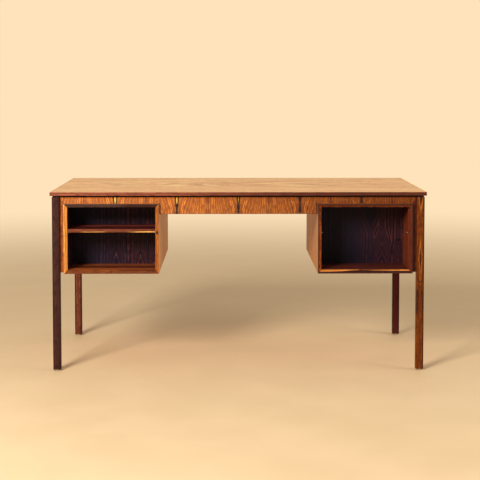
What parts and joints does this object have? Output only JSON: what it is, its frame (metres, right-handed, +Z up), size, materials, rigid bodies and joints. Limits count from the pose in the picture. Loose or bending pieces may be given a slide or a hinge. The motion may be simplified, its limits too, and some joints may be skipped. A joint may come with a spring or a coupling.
{
  "type": "writing desk",
  "caption": "Freestanding pedestal writing desk with hanging boxes, open compartments to the front and drawers to the rear, on slim square legs.",
  "frame": {"origin": "on the floor, under the middle of the top", "axes": "+X along the desk, +Y from the open compartments to the drawers, +Z up"},
  "size_m": [1.5, 0.75, 0.72],
  "materials": {
    "top_veneer": "satin lacquered rosewood veneer, grain along the length",
    "edge_solid": "satin solid rosewood edge strip",
    "leg_solid": "satin solid rosewood",
    "apron_veneer": "satin book-matched rosewood veneer, upright grain",
    "end_panel_veneer": "satin rosewood veneer",
    "box_veneer": "satin rosewood, mitred and bevelled",
    "divider_veneer": "satin rosewood veneer",
    "shelf_veneer": "satin rosewood veneer",
    "drawer_front_veneer": "satin rosewood veneer",
    "drawer_hardwood": "waxed pale hardwood",
    "drawer_ply": "waxed plywood",
    "runner_hardwood": "waxed pale hardwood",
    "rail_hardwood": "sealed hardwood",
    "stained_softwood": "dark stained",
    "screw_steel": "plain",
    "pin_steel": "dull",
    "glide_metal": "nickel plated, scuffed"
  },
  "bodies": {
    "root": {"top_panel": "top_veneer", "top_lipping_long": "edge_solid", "top_lipping_short": "edge_solid", "top_spacers": "stained_softwood", "hanging_rails": "rail_hardwood", "loose_tenons": "rail_hardwood", "box_screws": "screw_steel", "leg_glides": "glide_metal", "front_apron": "apron_veneer", "rear_apron": "apron_veneer", "shelf": "shelf_veneer", "shelf_pins": "pin_steel", "drawer_runners": "runner_hardwood", "left_end_panel": "end_panel_veneer", "front_left_leg": "leg_solid", "rear_left_leg": "leg_solid", "left_box_top": "box_veneer", "left_box_bottom": "box_veneer", "left_box_outer_side": "box_veneer", "left_box_inner_side": "box_veneer", "left_box_divider": "divider_veneer", "right_end_panel": "end_panel_veneer", "front_right_leg": "leg_solid", "rear_right_leg": "leg_solid", "right_box_top": "box_veneer", "right_box_bottom": "box_veneer", "right_box_outer_side": "box_veneer", "right_box_inner_side": "box_veneer", "right_box_divider": "divider_veneer"},
    "left_bottom_drawer": {"left_bottom_drawer_front": "drawer_front_veneer", "left_bottom_drawer_left_side": "drawer_hardwood", "left_bottom_drawer_right_side": "drawer_hardwood", "left_bottom_drawer_back": "drawer_hardwood", "left_bottom_drawer_bottom": "drawer_ply"},
    "left_middle_drawer": {"left_middle_drawer_front": "drawer_front_veneer", "left_middle_drawer_left_side": "drawer_hardwood", "left_middle_drawer_right_side": "drawer_hardwood", "left_middle_drawer_back": "drawer_hardwood", "left_middle_drawer_bottom": "drawer_ply"},
    "left_top_drawer": {"left_top_drawer_front": "drawer_front_veneer", "left_top_drawer_left_side": "drawer_hardwood", "left_top_drawer_right_side": "drawer_hardwood", "left_top_drawer_back": "drawer_hardwood", "left_top_drawer_bottom": "drawer_ply"},
    "right_bottom_drawer": {"right_bottom_drawer_front": "drawer_front_veneer", "right_bottom_drawer_left_side": "drawer_hardwood", "right_bottom_drawer_right_side": "drawer_hardwood", "right_bottom_drawer_back": "drawer_hardwood", "right_bottom_drawer_bottom": "drawer_ply"},
    "right_middle_drawer": {"right_middle_drawer_front": "drawer_front_veneer", "right_middle_drawer_left_side": "drawer_hardwood", "right_middle_drawer_right_side": "drawer_hardwood", "right_middle_drawer_back": "drawer_hardwood", "right_middle_drawer_bottom": "drawer_ply"},
    "right_top_drawer": {"right_top_drawer_front": "drawer_front_veneer", "right_top_drawer_left_side": "drawer_hardwood", "right_top_drawer_right_side": "drawer_hardwood", "right_top_drawer_back": "drawer_hardwood", "right_top_drawer_bottom": "drawer_ply"}
  },
  "joints": [
    {"name": "left_bottom_drawer_slide", "type": "slide", "parent": "root", "child": "left_bottom_drawer", "axis": [0, 1, 0], "range_m": [0, 0.38]},
    {"name": "left_middle_drawer_slide", "type": "slide", "parent": "root", "child": "left_middle_drawer", "axis": [0, 1, 0], "range_m": [0, 0.38]},
    {"name": "left_top_drawer_slide", "type": "slide", "parent": "root", "child": "left_top_drawer", "axis": [0, 1, 0], "range_m": [0, 0.38]},
    {"name": "right_bottom_drawer_slide", "type": "slide", "parent": "root", "child": "right_bottom_drawer", "axis": [0, 1, 0], "range_m": [0, 0.38]},
    {"name": "right_middle_drawer_slide", "type": "slide", "parent": "root", "child": "right_middle_drawer", "axis": [0, 1, 0], "range_m": [0, 0.38]},
    {"name": "right_top_drawer_slide", "type": "slide", "parent": "root", "child": "right_top_drawer", "axis": [0, 1, 0], "range_m": [0, 0.38]}
  ]
}
